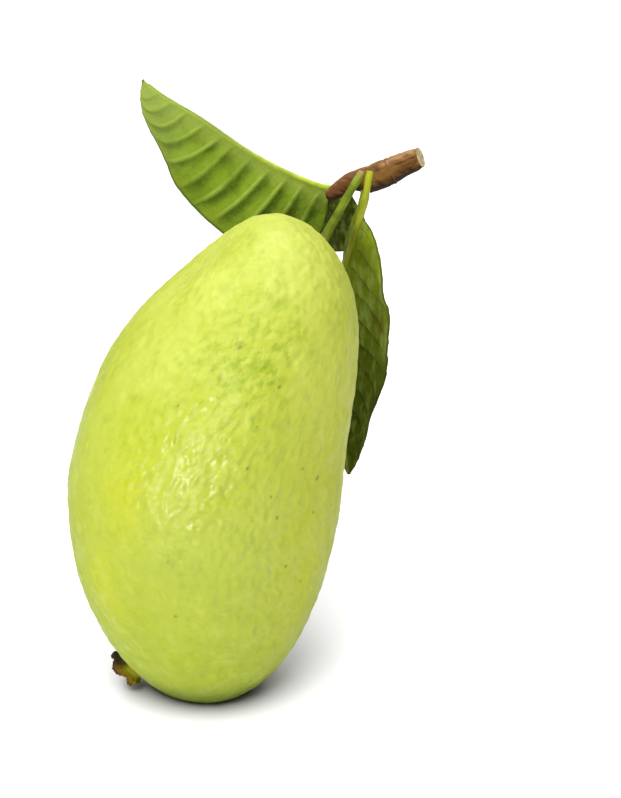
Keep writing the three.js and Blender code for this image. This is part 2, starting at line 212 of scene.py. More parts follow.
class Finish:
    """A material and its nodes, built up from the surface's own pattern."""

    def __init__(self, name, **sockets):
        self.material = bpy.data.materials.new(name)
        self.material.use_nodes = True
        self.tree = self.material.node_tree
        self.shader = self.tree.nodes["Principled BSDF"]
        for key, value in sockets.items():
            self.shader.inputs[key.replace("_", " ")].default_value = value

    def node(self, kind, inputs=(), **settings):
        made = self.tree.nodes.new(kind)
        for key, value in settings.items():
            setattr(made, key, value)
        for socket, value in dict(inputs).items():
            self.feed(made.inputs[socket], value)
        return made

    def feed(self, socket, value):
        if isinstance(value, bpy.types.NodeSocket):
            self.tree.links.new(value, socket)
        elif hasattr(socket.default_value, "__len__") and not hasattr(value, "__len__"):
            socket.default_value = [value] * len(socket.default_value)
        else:
            socket.default_value = value

    def value_of(self, name):
        made = self.node("ShaderNodeAttribute", attribute_name=name)
        return made.outputs["Fac"], made.outputs["Vector"]

    def maths(self, operation, first, second=0.0, held=False):
        made = self.node("ShaderNodeMath", operation=operation, use_clamp=held)
        self.feed(made.inputs[0], first)
        self.feed(made.inputs[1], second)
        return made.outputs[0]

    def stretched(self, place, by):
        made = self.node("ShaderNodeVectorMath", operation="MULTIPLY")
        self.feed(made.inputs[0], place)
        self.feed(made.inputs[1], by)
        return made.outputs[0]

    def cloud(self, place, scale, detail=2.0, rough=0.5, warp=0.0):
        made = self.node(
            "ShaderNodeTexNoise",
            {
                "Vector": place,
                "Scale": scale,
                "Detail": detail,
                "Roughness": rough,
                "Distortion": warp,
            },
        )
        return made.outputs["Fac"]

    def cells(self, place, scale, feature="F1"):
        made = self.node("ShaderNodeTexVoronoi", {"Vector": place, "Scale": scale}, feature=feature)
        return made.outputs["Distance"]

    def between(self, value, low, high, start=0.0, end=1.0):
        made = self.node(
            "ShaderNodeMapRange",
            {"Value": value, "From Min": low, "From Max": high, "To Min": start, "To Max": end},
            interpolation_type="SMOOTHSTEP",
        )
        return made.outputs[0]

    def blend(self, share, first, second, kind="MIX"):
        made = self.node("ShaderNodeMix", data_type="RGBA", blend_type=kind)
        self.feed(made.inputs[0], share)
        self.feed(made.inputs[6], first)
        self.feed(made.inputs[7], second)
        return made.outputs[2]

    def relief(self, height, distance, strength=1.0):
        made = self.node(
            "ShaderNodeBump", {"Height": height, "Distance": distance, "Strength": strength}
        )
        normal = self.shader.inputs["Normal"]
        if normal.links:
            self.feed(made.inputs["Normal"], normal.links[0].from_socket)
        self.feed(normal, made.outputs[0])

    def put_on(self, piece):
        piece.data.materials.clear()
        piece.data.materials.append(self.material)


def paint(red, green, blue):
    """A colour as the eye reads it, 0 to 255, turned into light."""
    levels = [c / 255 for c in (red, green, blue)]
    return [c / 12.92 if c <= 0.04045 else ((c + 0.055) / 1.055) ** 2.4 for c in levels] + [1.0]


def skin_marks(ways):
    """Places that the pattern of the skin is drawn from, slanted as its grain is."""
    return turned(ball_place(ways), np.array((0, -1, 0)), np.full(len(ways), GRAIN_SLANT))


def fruit_shell():
    polar = math.pi * np.arange(1, FRUIT_RINGS) / FRUIT_RINGS
    turn = 2 * math.pi * np.arange(FRUIT_SIDES) / FRUIT_SIDES
    grid_polar, grid_turn = np.meshgrid(polar, turn, indexing="ij")
    ways = meridian_ways(grid_polar.ravel(), grid_turn.ravel())
    ways = np.vstack((CALYX_WAY[None], ways, STEM_WAY[None]))
    rind = skin_marks(ways)
    grain = rind * np.array((1, 1, 0.85))
    shallow = 1 - 0.8 * np.maximum(bell(ways, CALYX_WAY, 7), bell(ways, STEM_WAY, 7))
    pebbles = noisy(grain, 430) + 0.4 * noisy(grain, 170, 7)
    fine = noisy(grain, 820, 3)
    pits = 1 - smooth(celled(grain, 250, 11), 0.06, 0.26)
    lift = shallow * (PEBBLE_RISE * pebbles + GRAIN_RISE * fine - PIT_DEPTH * pits)
    places = skin(ways, lift)
    height = places[:, 2]
    places[:, 2] = 0.5 * (height + np.sqrt(height**2 + FLAT_SPOT_ROUNDING**2))
    piece = shell_object(
        "guava_fruit", places, ring_faces(FRUIT_RINGS - 1, FRUIT_SIDES), "fruit_skin", "fruit"
    )
    note_values(piece, "rind", rind)
    note_values(piece, "pit", pits)
    note_values(piece, "mottled", bell(ways, site_way(*MOTTLED_SPOT[:2]), MOTTLED_SPOT[2]))
    for kept, spots in (("sunny", SUNNY_AND_FLANK_SHADE_SPOTS), ("rubbed", RUBBED_SPOTS)):
        bells = [bell(ways, site_way(height, bearing), spread) for height, bearing, spread in spots]
        note_values(piece, kept, np.max(bells, 0))
    return piece


fruit = fruit_shell()

rind_finish = Finish(
    "waxy_guava_skin",
    Subsurface_Weight=0.12,
    Subsurface_Scale=0.003,
    Subsurface_Radius=(1.0, 1.0, 0.2),
    Specular_IOR_Level=0.3,
)
rind_place = rind_finish.value_of("rind")[1]
pit_share = rind_finish.value_of("pit")[0]
mottled, sunny = rind_finish.value_of("mottled")[0], rind_finish.value_of("sunny")[0]
long_grain = rind_finish.stretched(rind_place, (1, 1, 0.85))
height_share = rind_finish.node("ShaderNodeSeparateXYZ", {0: rind_place}).outputs["Z"]
# Deeper green towards the foot and paler towards the neck: partly the skin's own tone, partly painted
# shade on the lower fruit
ripeness_and_lower_shade = rind_finish.between(height_share, -0.05, 0.05)
flesh_colour = rind_finish.blend(ripeness_and_lower_shade, paint(126, 139, 16), paint(158, 166, 64))
wide_patches = rind_finish.between(rind_finish.cloud(rind_place, 55, 3), 0.42, 0.6)
flesh_colour = rind_finish.blend(
    rind_finish.maths("MULTIPLY", wide_patches, 0.5), flesh_colour, paint(140, 150, 30)
)
# Sun-yellowed patches, and on the right flank a painted shade tone, yellower and less blue
flesh_colour = rind_finish.blend(
    rind_finish.maths("MULTIPLY", sunny, 0.55), flesh_colour, paint(158, 162, 4)
)
blotches = rind_finish.between(rind_finish.cloud(long_grain, 260, 4, 0.6), 0.5, 0.7)
mottle = rind_finish.between(rind_finish.cloud(long_grain, 640, 4, 0.62), 0.5, 0.68)
green_share = rind_finish.maths("ADD", rind_finish.maths("MULTIPLY", mottled, 0.45), 0.2)
for pattern in (blotches, mottle):
    flesh_colour = rind_finish.blend(
        rind_finish.maths("MULTIPLY", pattern, green_share), flesh_colour, paint(106, 128, 12)
    )
pale_bloom = rind_finish.between(rind_finish.cloud(long_grain, 330, 3, 0.5, 0.4), 0.52, 0.7)
flesh_colour = rind_finish.blend(
    rind_finish.maths("MULTIPLY", pale_bloom, 0.16), flesh_colour, paint(172, 180, 78)
)
few = rind_finish.between(rind_finish.cloud(rind_place, 90, 1), 0.5, 0.56)
specks = rind_finish.between(rind_finish.cells(rind_place, 140), 0.07, 0.03, 0.0, 0.7)
flesh_colour = rind_finish.blend(
    rind_finish.maths("MULTIPLY", specks, few), flesh_colour, paint(92, 98, 14)
)
for height, bearing, size in SCARS:
    spot = skin_marks(np.array([site_way(height, bearing)]))[0]
    away = rind_finish.node("ShaderNodeVectorMath", {0: rind_place, 1: spot}, operation="DISTANCE")
    scar = rind_finish.between(away.outputs["Value"], size * 1.2, size * 0.2, 0.0, 0.75)
    flesh_colour = rind_finish.blend(scar, flesh_colour, paint(90, 92, 4))
flesh_colour = rind_finish.blend(
    rind_finish.maths("MULTIPLY", pit_share, 0.2), flesh_colour, paint(104, 120, 24)
)
# Painted shade: the skin darkens to deep olive green within about 11 mm of the table, standing in for
# the contact shade under the fruit
standing_place = rind_finish.node("ShaderNodeTexCoord").outputs["Object"]
above_table = rind_finish.node("ShaderNodeSeparateXYZ", {0: standing_place}).outputs["Z"]
flesh_colour = rind_finish.blend(
    rind_finish.between(above_table, FOOT_SHADE_HEIGHT, 0.0, 0.0, 0.95),
    flesh_colour,
    paint(78, 90, 0),
)
rind_finish.feed(rind_finish.shader.inputs["Base Color"], flesh_colour)
# The front is rubbed to a shine, and the flanks and the neck keep their dull bloom
rubbed = rind_finish.value_of("rubbed")[0]
uneven = rind_finish.between(rind_finish.cloud(long_grain, 240, 3), 0.35, 0.65, -0.09, 0.09)
dulness = rind_finish.between(rubbed, 0.1, 0.8, 0.62, 0.4)
rind_finish.feed(rind_finish.shader.inputs["Roughness"], rind_finish.maths("ADD", dulness, uneven))
rind_finish.relief(rind_finish.cloud(long_grain, 1300, 1, 0.5), 0.00008, 0.4)
pebbled = rind_finish.between(rubbed, 0.0, 0.7, 0.35, 1.0)
hollows = rind_finish.cells(long_grain, 680, "SMOOTH_F1")
domes = rind_finish.maths("MULTIPLY", rind_finish.maths("MULTIPLY", hollows, hollows), -1.0)
lumps = rind_finish.maths("ADD", domes, rind_finish.cloud(long_grain, 620, 0, 0.5))
rind_finish.relief(rind_finish.maths("MULTIPLY", lumps, pebbled), 0.00062, 0.7)
rind_finish.put_on(fruit)

# The crown is what is left of the flower: five sepals joined at the foot, dried brown and curled,
# with ragged dark tips. It stands out of the blossom end, square on the skin.
SEPAL_COUNT = 5
SEPAL_SHARES = (1, 0.78, 0.95, 0.66, 0.88)
SEPAL_HEIGHT, NOTCH_HEIGHT, CROWN_FLOOR = 0.0031, 0.0014, 0.0009
CROWN_BASE_RADIUS, CROWN_RIM_RADIUS, CROWN_WALL, CROWN_SINK = 0.0035, 0.0045, 0.00095, 0.0016
SHORTEST_LOBE, RAGGED_EDGE = 0.0013, 0.00018
CROWN_SIDES = 200


def skin_normal(way):
    step = 0.02
    side = unit(np.cross((0, 0, 1), way))
    rise = np.cross(way, side)
    near = [skin(unit(way + far * out)[None])[0] for out in (side, rise) for far in (step, -step)]
    normal = unit(np.cross(near[0] - near[1], near[2] - near[3]))
    return normal if normal @ way > 0 else -normal


def crown_shell():
    foot = skin(CALYX_WAY[None])[0]
    out = skin_normal(CALYX_WAY)
    first = unit(np.cross((0, 0, 1), out))
    second = np.cross(out, first)
    turn = 2 * math.pi * np.arange(CROWN_SIDES) / CROWN_SIDES
    share = turn / (2 * math.pi) * SEPAL_COUNT
    lobe = np.abs(np.sin(math.pi * share)) ** 0.8
    full = SEPAL_HEIGHT * np.array(SEPAL_SHARES)[np.floor(share).astype(int) % SEPAL_COUNT]
    ragged = RAGGED_EDGE * np.sin(turn * 23 + 1) * np.sin(turn * 9)
    top = np.maximum(NOTCH_HEIGHT + (full - NOTCH_HEIGHT) * lobe + ragged * lobe, SHORTEST_LOBE)
    curl = CROWN_RIM_RADIUS - 0.35 * np.maximum(0, top - NOTCH_HEIGHT)
    inner = CROWN_RIM_RADIUS - CROWN_WALL
    same = np.ones(CROWN_SIDES)
    corners = (
        (CROWN_BASE_RADIUS * 0.98 * same, -CROWN_SINK * same, 2),
        (CROWN_BASE_RADIUS * same, 0.0002 * same, 7),
        (CROWN_RIM_RADIUS * same, 0.0012 * same, 8),
        (curl, top, 3),
        (curl - CROWN_WALL * 0.5, top - 0.0001, 7),
        (inner * same, 0.00115 * same, 6),
        (inner * 0.8 * same, CROWN_FLOOR * same, 6),
        (inner * 0.1 * same, (CROWN_FLOOR + 0.0003) * same, 0),
    )
    radii, heights = [], []
    for (radius, height, steps), (next_radius, next_height, _) in zip(corners, corners[1:]):
        for step in range(steps):
            part = step / steps
            radii.append(radius + (next_radius - radius) * part)
            heights.append(height + (next_height - height) * part)
    radii, heights = np.array(radii), np.array(heights)
    for _ in range(2):
        radii[1:-1] = (radii[:-2] + 2 * radii[1:-1] + radii[2:]) / 4
        heights[1:-1] = (heights[:-2] + 2 * heights[1:-1] + heights[2:]) / 4
    wrinkle = 0.00016 * np.sin(turn * 20 + 4 * np.sin(turn * 3)) + 0.00008 * np.sin(turn * 47)
    loose = smooth(heights, 0.0, 0.0015)
    radii = radii + wrinkle * loose
    ring = foot + (
        heights[..., None] * out
        + (radii * np.cos(turn))[..., None] * first
        + (radii * np.sin(turn))[..., None] * second
    )
    shaken = noisy(ring, 900, 5)[..., None] * 0.0002 * loose[..., None]
    places = (ring + shaken * unit(ring - foot)).reshape(-1, 3)
    ends = (foot - CROWN_SINK * out, foot + (CROWN_FLOOR + 0.0003) * out)
    places = np.vstack((ends[0][None], places, ends[1][None]))
    piece = shell_object(
        "dried_crown", places, ring_faces(len(radii), CROWN_SIDES), "calyx_crown", "calyx"
    )
    note_values(piece, "standing", np.clip((places - foot) @ out / SEPAL_HEIGHT, 0, 1))
    return piece


crown = crown_shell()
crown_finish = Finish("dried_sepals", Roughness=0.85, Specular_IOR_Level=0.15)
crown_place = crown_finish.node("ShaderNodeTexCoord").outputs["Object"]
standing = crown_finish.value_of("standing")[0]
crown_cloud = crown_finish.cloud(crown_place, 900, 4, 0.6)
tipping = crown_finish.maths("ADD", standing, crown_finish.maths("MULTIPLY", crown_cloud, 0.5))
crown_colour = crown_finish.blend(
    crown_finish.between(tipping, 0.35, 0.8), paint(126, 120, 14), paint(98, 72, 6)
)
crown_colour = crown_finish.blend(
    crown_finish.between(tipping, 0.85, 1.15), crown_colour, paint(60, 40, 14)
)
# The topmost sepal has dried black
crown_height = crown_finish.node("ShaderNodeSeparateXYZ", {0: crown_place}).outputs["Z"]
crown_colour = crown_finish.blend(
    crown_finish.between(crown_height, 0.0062, 0.0078, 0.0, 0.9), crown_colour, paint(26, 20, 14)
)
crown_finish.feed(crown_finish.shader.inputs["Base Color"], crown_colour)
crown_finish.relief(crown_finish.cloud(crown_place, 2600, 4, 0.65), 0.0002, 0.8)
crown_finish.put_on(crown)

# The stalk that the fruit hung by is fresh, green and smooth, a little thicker where it meets the twig
# and where it widens into the dimple of the fruit. It grew out of the twig beside the hanging leaf.
STALK_LINE = (
    (34.5, 22.9, 112.2),
    (32.9, 20.9, 110.6),
    (29.7, 19.5, 105.2),
    (27.0, 18.0, 100.6),
    (25.2, 16.6, 97.8),
    (22.6, 14.0, 94.6),
)
STALK_RADII = (0.9, 0.85, 0.9, 1.0, 1.3, 1.5)
STALK_SIDES, STALK_STEPS = 56, 180
# How far the stalk thickens where it widens into the fruit, and where it leaves the twig
COLLAR_RISE, FOOT_RISE = 0.0004, 0.0002
MILLIMETRE = 0.001


class Line:
    """A smooth line through points in millimetres, measured by its share of the length."""

    def __init__(self, points):
        points = np.array(points, float) * MILLIMETRE
        before = 2 * points[0] - points[1]
        after = 2 * points[-1] - points[-2]
        points = np.vstack((before, points, after))
        drawn = []
        for i in range(1, len(points) - 2):
            a, b, c, d = points[i - 1 : i + 3]
            pairs = ((a, b), (b, c), (c, d))
            gaps = [max(np.linalg.norm(q - p) ** 0.5, 1e-6) for p, q in pairs]
            leave = (b - a) / gaps[0] - (c - a) / (gaps[0] + gaps[1]) + (c - b) / gaps[1]
            leave = leave * gaps[1]
            arrive = (c - b) / gaps[1] - (d - b) / (gaps[1] + gaps[2]) + (d - c) / gaps[2]
            arrive = arrive * gaps[1]
            t = np.linspace(0, 1, 120, endpoint=i == len(points) - 3)[:, None]
            drawn.append(
                b
                + leave * t
                + (-3 * b + 3 * c - 2 * leave - arrive) * t**2
                + (2 * b - 2 * c + leave + arrive) * t**3
            )
        self.drawn = np.vstack(drawn)
        length = np.linalg.norm(np.diff(self.drawn, axis=0), axis=1)
        self.share = np.concatenate(((0,), np.cumsum(length))) / length.sum()
        self.length = length.sum()

    def at(self, share):
        return np.stack([np.interp(share, self.share, self.drawn[:, k]) for k in range(3)], -1)

    def heading(self, share):
        step = 0.004
        return unit(self.at(np.minimum(share + step, 1)) - self.at(np.maximum(share - step, 0)))

    def sides(self, shares):
        """Two directions square to the line at each share, carried along without twist."""
        headings = self.heading(np.asarray(shares))
        first = unit(np.cross(headings[0], (0.3, -1, 0.2)))
        carried = []
        for heading in headings:
            first = unit(first - heading * (first @ heading))
            carried.append(first)
        carried = np.array(carried)
        return carried, np.cross(headings, carried)


def bar_places(line, radii, sides, steps, bumps=None):
    """Rings of points round a line, with their shares along it and turns round it."""
    shares = np.linspace(0, 1, steps + 1)
    centre = line.at(shares)
    first, second = line.sides(shares)
    stops = shares * (len(radii) - 1)
    low = np.minimum(np.floor(stops).astype(int), len(radii) - 2)
    part = smooth(stops - low, 0, 1)
    radii = np.array(radii) * MILLIMETRE
    radius = radii[low] * (1 - part) + radii[low + 1] * part
    turn = 2 * math.pi * np.arange(sides) / sides
    grid_share, grid_turn = np.meshgrid(shares, turn, indexing="ij")
    cosine, sine = np.cos(turn)[None, :, None], np.sin(turn)[None, :, None]
    way = first[:, None] * cosine + second[:, None] * sine
    grid_radius = np.repeat(radius[:, None], sides, 1)
    if bumps:
        grid_radius = grid_radius + bumps(grid_share, grid_turn, centre[:, None] + way * 0.001)
    return centre[:, None] + way * grid_radius[..., None], grid_share, grid_turn


def stalk_bumps(share, turn, places):
    grooves = 0.00004 * np.cos(5 * turn + 3 * share)
    grain = noisy(places * np.array((1, 1, 0.4)), 900, 2) * 0.00005
    collar = COLLAR_RISE * np.exp(-(((share - 0.8) / 0.05) ** 2))
    foot = FOOT_RISE * np.exp(-((share / 0.1) ** 2))
    return grooves + grain + (collar + foot)


def stalk_shell():
    line = Line(STALK_LINE)
    rings, share, _ = bar_places(line, STALK_RADII, STALK_SIDES, STALK_STEPS, stalk_bumps)
    places = np.vstack((line.at(0.0)[None], rings.reshape(-1, 3), line.at(1.0)[None]))
    piece = shell_object(
        "fruit_stalk_green",
        places,
        ring_faces(STALK_STEPS + 1, STALK_SIDES),
        "green_stalk",
        "fruit_stalk",
    )
    note_values(piece, "down", np.concatenate(((0,), share.ravel(), (1,))))
    return piece


stalk = stalk_shell()
stalk_finish = Finish("fresh_stalk_skin", Roughness=0.55, Specular_IOR_Level=0.2)
stalk_place = stalk_finish.node("ShaderNodeTexCoord").outputs["Object"]
down = stalk_finish.value_of("down")[0]
stalk_colour = stalk_finish.blend(
    stalk_finish.between(stalk_finish.cloud(stalk_place, 420, 4), 0.35, 0.7),
    paint(98, 112, 10),
    paint(74, 88, 2),
)
stalk_colour = stalk_finish.blend(
    stalk_finish.between(down, 0.12, 0.0), stalk_colour, paint(122, 104, 50)
)
stalk_finish.feed(stalk_finish.shader.inputs["Base Color"], stalk_colour)
stalk_finish.relief(stalk_finish.cloud(stalk_place, 2400, 3), 0.0001, 0.6)
stalk_finish.put_on(stalk)

# The twig is young wood under thin brown bark, with fine cracks along it. It swells at the node
# that carries the two leaves and the stalk, runs out into a short shoot, and was cut off at its far
# end.
TWIG_LINE = (
    (26.8, 24, 106.5),
    (27.5, 24, 107.1),
    (29.7, 24, 108.6),
    (32.5, 24, 110.3),
    (36.2, 24, 110.8),
    (40.2, 24, 112.4),
    (44.4, 24, 114.4),
    (48.0, 24, 116.0),
)
TWIG_RADII = (1.4, 1.9, 2.25, 2.9, 3.15, 2.9, 2.6, 2.25)
TWIG_SIDES, TWIG_STEPS = 110, 230
CUT_RINGS = (0.94, 0.8, 0.62, 0.42, 0.2)
CUT_SLOPE = 0.3
BARK_RADIUS = 0.0026


def twig_bumps(share, turn, places):
    line_grain = places * np.array((0.25, 1, 1))
    ridges = noisy(line_grain, 1700, 4)
    broad = noisy(places, 420, 9)
    rings = np.exp(-(((share - 0.44) / 0.012) ** 2)) + np.exp(-(((share - 0.66) / 0.01) ** 2))
    blunt_tip = 0.001 * np.exp(-((share / 0.018) ** 2))
    return 0.00016 * broad + 0.00013 * ridges + 0.00016 * rings - blunt_tip - 0.0001


def twig_shell():
    line = Line(TWIG_LINE)
    rings, share, turn = bar_places(line, TWIG_RADII, TWIG_SIDES, TWIG_STEPS, twig_bumps)
    back_out = rings[..., 1].max() - rings[..., 1]
    rings = rings - line.heading(1.0) * (CUT_SLOPE * back_out * smooth(share, 0.9, 1))[..., None]
    end = rings[-1].mean(0)
    cut = [end + (rings[-1] - end) * part for part in CUT_RINGS]
    pulled = [ring - line.heading(1.0) * 0.0001 * (i > 0) for i, ring in enumerate(cut)]
    count = TWIG_STEPS + 1 + len(pulled)
    places = np.vstack((line.at(0.0)[None], rings.reshape(-1, 3), *pulled, end[None]))
    piece = shell_object("woody_twig", places, ring_faces(count, TWIG_SIDES), "twig_bark", "twig")
    cut_share = np.zeros(len(places))
    cut_share[1 + (TWIG_STEPS + 1) * TWIG_SIDES :] = 1
    note_values(piece, "cut", cut_share)
    lengthwise = np.concatenate(((0,), share.ravel(), np.ones(len(pulled) * TWIG_SIDES + 1)))
    note_values(piece, "down", lengthwise)
    round_twig = np.concatenate(((0,), turn.ravel(), np.zeros(len(pulled) * TWIG_SIDES + 1)))
    note_values(
        piece,
        "bark",
        np.stack(
            (
                lengthwise * line.length * 0.16,
                BARK_RADIUS * np.cos(round_twig),
                BARK_RADIUS * np.sin(round_twig),
            ),
            -1,
        ),
    )
    return piece


twig = twig_shell()
bark_finish = Finish("thin_brown_bark", Roughness=0.85, Specular_IOR_Level=0.15)
bark_coordinates = bark_finish.node("ShaderNodeTexCoord")
bark_place = bark_coordinates.outputs["Object"]
bark_way = bark_finish.node("ShaderNodeSeparateXYZ", {0: bark_coordinates.outputs["Normal"]})
facing_up = bark_way.outputs["Z"]
bark_grain = bark_finish.value_of("bark")[1]
down = bark_finish.value_of("down")[0]
cut_face = bark_finish.value_of("cut")[0]
bark_colour = bark_finish.blend(
    bark_finish.between(bark_finish.cloud(bark_grain, 420, 4), 0.35, 0.65),
    paint(80, 50, 15),
    paint(118, 83, 37),
)
bark_colour = bark_finish.blend(
    bark_finish.between(bark_finish.cloud(bark_grain, 1500, 4, 0.6), 0.5, 0.68, 0.0, 0.8),
    bark_colour,
    paint(40, 20, 6),
)
bark_colour = bark_finish.blend(
    bark_finish.between(down, 0.5, 0.15, 0.0, 0.8), bark_colour, paint(86, 52, 26)
)
# Painted shade: the bark darkens to near black on its downward-facing side
bark_colour = bark_finish.blend(
    bark_finish.between(facing_up, 0.1, -0.6, 0.0, 0.95), bark_colour, paint(30, 16, 2)
)
# Pale bark patches kept to the upward-facing side: partly real pale bark, partly painted light on the
# top of the twig
pale_patches_and_top_light = bark_finish.between(bark_finish.cloud(bark_grain, 700, 3), 0.4, 0.6, 0.1, 0.75)
bark_colour = bark_finish.blend(
    bark_finish.maths("MULTIPLY", pale_patches_and_top_light, bark_finish.between(facing_up, 0.5, 0.95)),
    bark_colour,
    paint(150, 118, 84),
)
wood_colour = bark_finish.blend(
    bark_finish.between(bark_finish.cloud(bark_place, 1400, 4), 0.35, 0.65),
    paint(176, 162, 122),
    paint(142, 124, 86),
)
bark_colour = bark_finish.blend(cut_face, bark_colour, wood_colour)
bark_finish.feed(bark_finish.shader.inputs["Base Color"], bark_colour)
bark_finish.relief(bark_finish.cloud(bark_grain, 2000, 4, 0.6), 0.00028, 0.9)
bark_finish.relief(bark_finish.cloud(bark_grain, 600, 3, 0.55), 0.0006, 0.8)
bark_finish.put_on(twig)

# Each leaf is a leathery green blade on a short stalk, paler and strongly veined underneath. The side
# veins leave the midrib in pairs and curve towards the tip, and the blade puffs up between them. The
# upper leaf is folded along its rib and shows its underside behind the fruit.
BLADE_THICKNESS = 0.0004
RIB_SWELL = 0.00025
VEIN_RISE, PANEL_RISE = 0.0002, 0.00075
RIB_REACH, RIM_WAVES = 0.0009, 3.3
# Where each side vein leaves the midrib, and how much nearer the tip it is at the margin
VEINS = (
    (0.0, 0.0),
    (0.05, 0.015),
    (0.115, 0.045),
    (0.19, 0.06),
    (0.26, 0.095),
    (0.337, 0.13),
    (0.43, 0.11),
    (0.52, 0.1),
    (0.575, 0.18),
    (0.66, 0.2),
    (0.755, 0.165),
    (0.84, 0.12),
    (0.91, 0.07),
    (1.0, 0.0),
)
BLADE_ROWS, BLADE_COLUMNS = 270, 60
UPPER_LEAF = dict(
    rib=(
        (32.4, 24.2, 110.2),
        (28.2, 27.0, 107.8),
        (24.2, 29.8, 108.2),
        (17.6, 34.4, 109.9),
        (9.6, 40.3, 112.9),
        (4.6, 43.7, 115.5),
        (-1.9, 48.6, 118.9),
        (-10.7, 55.0, 122.7),
        (-15.4, 59.2, 125.3),
    ),
    stalk_share=0.02,
    half_width=0.019,
    widest=0.34,
    under=(-0.43, -0.71, 0.52),
    near_half=dict(fold=(0, 0, 0), arch=12, start=0.075, end=1, fullness=12, taper=0.5, base=0.06),
    far_half=dict(
        fold=(121, 119, 185), arch=8, start=0.032, end=0.86, fullness=9, taper=0.5, base=0.16
    ),
    wave=0.0006,
    rib_radius=0.8,
    rib_tip=0.22,
    rib_lift=0.25,
)
HANGING_LEAF = dict(
    rib=(
        (36.3, 22.0, 112.9),
        (35.8, 20.1, 110.8),
        (35.1, 20.5, 106.9),
        (33.7, 22.5, 100.8),
        (32.0, 24.6, 94.5),
        (30.5, 27.4, 87.6),
        (29.8, 30.7, 71.5),
        (29.9, 30.2, 57.4),
        (30.8, 28.0, 48.1),
        (31.9, 25.2, 40.7),
    ),
    stalk_share=0.07,
    half_width=0.0161,
    widest=0.46,
    under=(0.66, 0.75, 0),
    near_half=dict(
        fold=(-5, -42, -15), arch=-25, start=0.41, end=1, fullness=2, taper=0.7, base=0.15
    ),
    far_half=dict(
        fold=(0, 2, 0),
        arch=8,
        start=0.085,
        end=1,
        fullness=1.85,
        taper=0.54,
        base=0.04,
        bruise=(0.42, 0.75),
    ),
    wave=0.0004,
    rib_radius=0.85,
    rib_tip=0.55,
    rib_lift=-0.2,
)


def along(values, share):
    base, middle, tip = values
    low = base + (middle - base) * smooth(share, 0, 0.5)
    high = middle + (tip - middle) * smooth(share, 0.5, 1)
    return np.where(share < 0.5, low, high)


def blade_outline(leaf, half, share):
    widest = leaf["widest"]
    left = np.maximum(0, half["end"] - share) / (half["end"] - widest)
    tip = np.maximum(0.03, np.sin(np.minimum(left, 1) * math.pi / 2) ** 0.72)
    back = np.clip((widest - share) / (widest - half["start"]), 0, 1)
    base = np.maximum(half["base"], (1 - back ** half["fullness"]) ** half["taper"])
    return np.where(share > widest, tip, base)


def across_rib(leaf, heading):
    way = np.array(leaf["under"], float)
    return unit(way - heading * (heading @ way)[..., None])


def vein_phase(share, out):
    """Counts the side veins from the base: a whole number on each vein."""
    starts, leads = np.array(VEINS).T
    phase = np.empty_like(share)
    for column in range(share.shape[1]):
        part = out[0, column]
        at = starts + leads * (0.5 * part + 0.5 * part**3)
        phase[:, column] = np.interp(share[:, column], at, np.arange(len(at)))
    return phase


def half_blade(leaf, line, half, side):
    """Middle layer of one half: places, distance off the rib, and the veins, panels and the furrows
    where shade is painted.
    """
    share, out = np.meshgrid(
        np.linspace(0, 1, BLADE_ROWS + 1), np.linspace(0, 1, BLADE_COLUMNS + 1), indexing="ij"
    )
    place = leaf["stalk_share"] + (1 - leaf["stalk_share"]) * share
    centre, heading = line.at(place), line.heading(place)
    underside = across_rib(leaf, heading)
    near = np.cross(underside, heading)
    width = leaf["half_width"] * blade_outline(leaf, half, share)
    opened = np.where(share > 0.6, 0.0006, 0.004)
    first = np.radians(along(half["fold"], share)) * smooth(width / opened, 0, 1)
    turn = math.radians(half["arch"])
    level = width / turn * (np.sin(first + turn * out) - np.sin(first))
    away = width / turn * (np.cos(first) - np.cos(first + turn * out))
    phase = vein_phase(share, out)
    panel = phase - np.floor(phase)
    ridge = np.where(panel < 0.8, 1 - smooth(panel, -0.1, 0.8), smooth(panel, 0.8, 1.04))
    crest = np.exp(-(((phase - np.round(phase)) / 0.075) ** 2))
    furrow = smooth(panel, 0.3, 0.85) * (1 - smooth(panel, 0.9, 1))
    held = smooth(out, 0, 0.25) * (1 - 0.8 * smooth(out, 0.7, 1))
    full = np.minimum(1, width / leaf["half_width"] * 1.4)
    lift = (PANEL_RISE * ridge + VEIN_RISE * crest) * held * full
    lift = lift + leaf["wave"] * out**2 * np.sin(2 * math.pi * RIM_WAVES * share + 1)
    normal_turn = first + turn * out
    across = side * (level + lift * np.sin(normal_turn))
    sunk = -away + lift * np.cos(normal_turn)
    places = centre + near * across[..., None] + underside * sunk[..., None]
    bruise_share, bruise_out = half.get("bruise", (9, 9))
    bruise = np.exp(-(((share - bruise_share) / 0.07) ** 2) - ((out - bruise_out) / 0.3) ** 2)
    return places, width * out, crest * held, furrow * held, out, bruise


